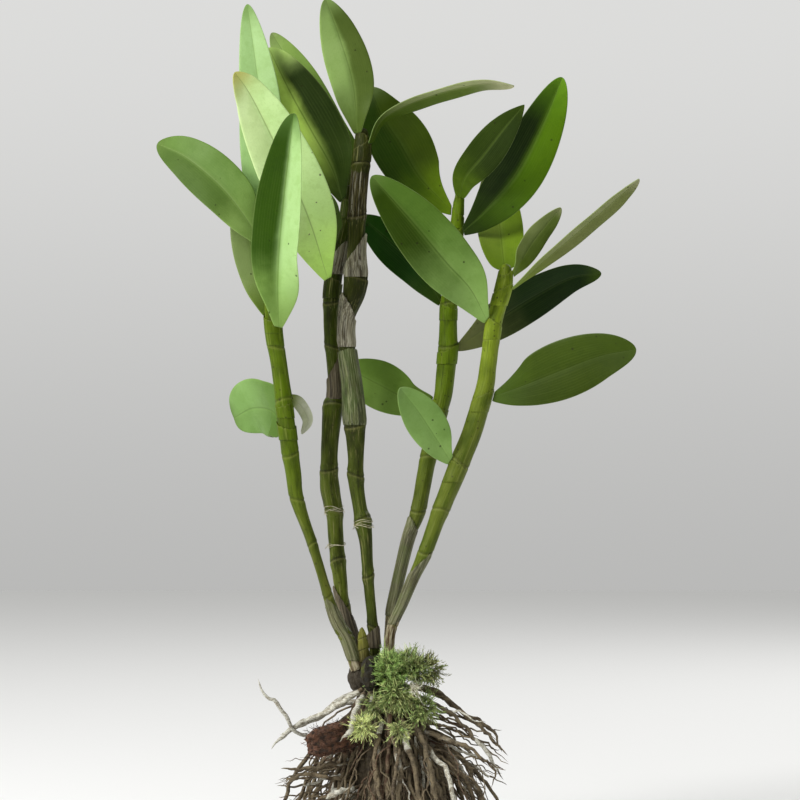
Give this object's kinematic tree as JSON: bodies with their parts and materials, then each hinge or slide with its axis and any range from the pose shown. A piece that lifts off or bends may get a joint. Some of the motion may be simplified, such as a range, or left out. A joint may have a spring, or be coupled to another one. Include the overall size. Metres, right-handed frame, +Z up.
{
  "type": "dendrobium orchid",
  "caption": "Bare-root dendrobium orchid with jointed canes, leathery leaves, papery sheaths, moss and a wide mass of wiry roots that it stands on.",
  "frame": {"origin": "centre of the flat underside of the root mass, on the surface that the plant stands on", "axes": "+Z up along the canes, +X to the right of the side that shows most leaves, +Y to the back"},
  "size_m": [0.2398, 0.0899, 0.4131],
  "materials": {
    "leaf": "leathery green leaf, satin",
    "cane_green": "smooth green stem, satin",
    "cane_old": "ridged olive-brown old stem",
    "sheath": "dry papery silver-grey sheath, striated",
    "root": "wiry brown-grey roots, matte",
    "moss": "fine green moss, matte",
    "bark": "dark reddish-brown, fibrous",
    "shoot": "young olive-green shoot, satin"
  },
  "bodies": {
    "root": {"bark_chip": "bark", "cane_left": "cane_green", "cane_middle": "cane_old", "cane_middle_left": "cane_old", "cane_right_back": "cane_green", "cane_right_front": "cane_green", "leaf_back_big": "leaf", "leaf_back_dark": "leaf", "leaf_back_low_left": "leaf", "leaf_back_low_right": "leaf", "leaf_back_right": "leaf", "leaf_back_small": "leaf", "leaf_centre_back": "leaf", "leaf_centre_front": "leaf", "leaf_centre_middle": "leaf", "leaf_centre_small": "leaf", "leaf_left_back": "leaf", "leaf_left_front": "leaf", "leaf_left_low": "leaf", "leaf_left_side": "leaf", "leaf_left_tiny": "leaf", "leaf_left_top": "leaf", "leaf_middle_side": "leaf", "leaf_middle_top": "leaf", "leaf_right_front": "leaf", "leaf_right_long": "leaf", "leaf_right_low": "leaf", "leaf_right_low_front": "leaf", "leaf_right_small": "leaf", "leaf_right_upright": "leaf", "moss_tuft": "moss", "new_shoot": "shoot", "old_bulb": "bark", "root_mass": "root", "sheath_middle_left": "sheath", "sheath_middle_lower": "sheath", "sheath_middle_top": "sheath", "sheath_middle_upper": "sheath", "sheath_right_back": "sheath", "sheath_right_front": "sheath"}
  },
  "joints": []
}
